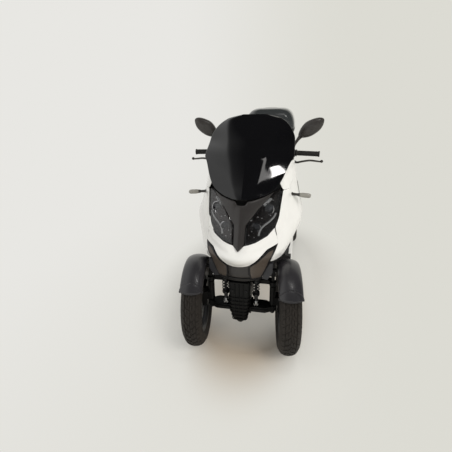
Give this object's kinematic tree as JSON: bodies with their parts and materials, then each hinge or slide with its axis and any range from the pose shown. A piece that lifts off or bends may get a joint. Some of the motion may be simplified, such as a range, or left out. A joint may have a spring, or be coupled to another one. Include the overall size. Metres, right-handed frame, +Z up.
{
  "type": "four-wheeled tilting scooter",
  "caption": "Tilting road scooter with paired wheels front and rear, smoked windscreen, white fairings, step-through floor, opening seat and top case.",
  "frame": {"origin": "on the ground under the middle of the bounding box", "axes": "+X to the rider's left, +Y backwards, +Z up; the scooter faces -Y"},
  "size_m": [0.8675, 2.1747, 1.303],
  "materials": {
    "tyre": "moulded rubber",
    "wheel_cast": "dark powder coat",
    "white_paint": "gloss white lacquer",
    "dark_satin": "satin warm grey",
    "black_plastic": "fine grained",
    "grille_mesh": "open mesh",
    "fender_grey": "semi-gloss",
    "smoked_screen": "dark smoked polycarbonate",
    "lamp_lens": "clear",
    "lamp_bowl": "metallised",
    "suspension_black": "black powder coat",
    "shock": "black coil over bright rod",
    "frame_paint": "black",
    "engine": "cast",
    "exhaust_steel": "brushed",
    "seat_vinyl": "black vinyl",
    "case_gloss": "gloss black",
    "rack_black": "satin black",
    "red_lens": "red",
    "indicator_lens": "clear",
    "plate_blank": "matt",
    "bar_metal": "satin black",
    "grip_rubber": "ribbed",
    "lever_metal": "satin",
    "mirror_shell": "satin",
    "mirror_glass": "polished"
  },
  "bodies": {
    "chassis": {"front_arms": "suspension_black", "front_carrier": "suspension_black", "front_shocks": "shock", "main_frame": "frame_paint", "front_cowl": "white_paint", "side_fairings": "white_paint", "nose_trim": "dark_satin", "headlamp_lenses": "lamp_lens", "headlamp_units": "lamp_bowl", "lower_lip": "black_plastic", "front_grille": "grille_mesh", "inner_liners": "black_plastic", "windscreen": "smoked_screen", "dashboard": "black_plastic", "leg_shield": "black_plastic", "footboards": "black_plastic", "tunnel_cover": "black_plastic", "side_skirts": "white_paint", "engine": "engine", "storage_bucket": "black_plastic", "tail_sides": "white_paint", "tail_centre": "white_paint", "case_base": "case_gloss", "rear_rack": "rack_black", "rear_arms": "suspension_black", "rear_shocks": "shock", "rear_fenders": "fender_grey", "exhaust": "exhaust_steel", "tail_lamp": "red_lens", "plate_carrier": "plate_blank", "rear_indicators": "indicator_lens", "front_indicators": "indicator_lens"},
    "steering": {"handlebar": "bar_metal", "grips": "grip_rubber", "brake_levers": "lever_metal", "mirrors": "mirror_shell", "mirror_glasses": "mirror_glass"},
    "knuckle_left": {"knuckle_left": "suspension_black", "front_fender_left": "fender_grey"},
    "knuckle_right": {"knuckle_right": "suspension_black", "front_fender_right": "fender_grey"},
    "wheel_front_left": {"tyre_front_left": "tyre", "rim_front_left": "wheel_cast"},
    "wheel_front_right": {"tyre_front_right": "tyre", "rim_front_right": "wheel_cast"},
    "wheel_rear_left": {"tyre_rear_left": "tyre", "rim_rear_left": "wheel_cast"},
    "wheel_rear_right": {"tyre_rear_right": "tyre", "rim_rear_right": "wheel_cast"},
    "seat": {"seat_pan": "black_plastic", "seat_cushion": "seat_vinyl"},
    "case_lid": {"case_lid": "case_gloss"}
  },
  "joints": [
    {"name": "steer", "type": "hinge", "parent": "chassis", "child": "steering", "pos_m": [0, -0.223, 1], "axis": [0, 0.4226, 0.9063], "range_deg": [-35, 21]},
    {"name": "kingpin_left", "type": "hinge", "parent": "chassis", "child": "knuckle_left", "pos_m": [0.18, -0.813, 0.266], "axis": [0, 0, 1], "range_deg": [-35, 21]},
    {"name": "wheel_front_left", "type": "hinge", "parent": "knuckle_left", "child": "wheel_front_left", "pos_m": [0.26437, -0.80264, 0.266], "axis": [0.9925, 0.1219, 0], "continuous": true},
    {"name": "wheel_rear_left", "type": "hinge", "parent": "chassis", "child": "wheel_rear_left", "pos_m": [0.243, 0.767, 0.266], "axis": [1, 0, 0], "continuous": true},
    {"name": "kingpin_right", "type": "hinge", "parent": "chassis", "child": "knuckle_right", "pos_m": [-0.18, -0.813, 0.266], "axis": [0, 0, 1], "range_deg": [-35, 21]},
    {"name": "wheel_front_right", "type": "hinge", "parent": "knuckle_right", "child": "wheel_front_right", "pos_m": [-0.26437, -0.82336, 0.266], "axis": [0.9925, 0.1219, 0], "continuous": true},
    {"name": "wheel_rear_right", "type": "hinge", "parent": "chassis", "child": "wheel_rear_right", "pos_m": [-0.243, 0.767, 0.266], "axis": [1, 0, 0], "continuous": true},
    {"name": "seat_lid", "type": "hinge", "parent": "chassis", "child": "seat", "pos_m": [0, 0.025, 0.728], "axis": [1, 0, 0], "range_deg": [0, 70]},
    {"name": "case_lid", "type": "hinge", "parent": "chassis", "child": "case_lid", "pos_m": [0, 0.678, 1.112], "axis": [1, 0, 0], "range_deg": [0, 80]}
  ],
  "couplings": [
    {"joint": "steer", "follows": "kingpin_left", "ratio": 1},
    {"joint": "kingpin_right", "follows": "kingpin_left", "ratio": 1}
  ]
}
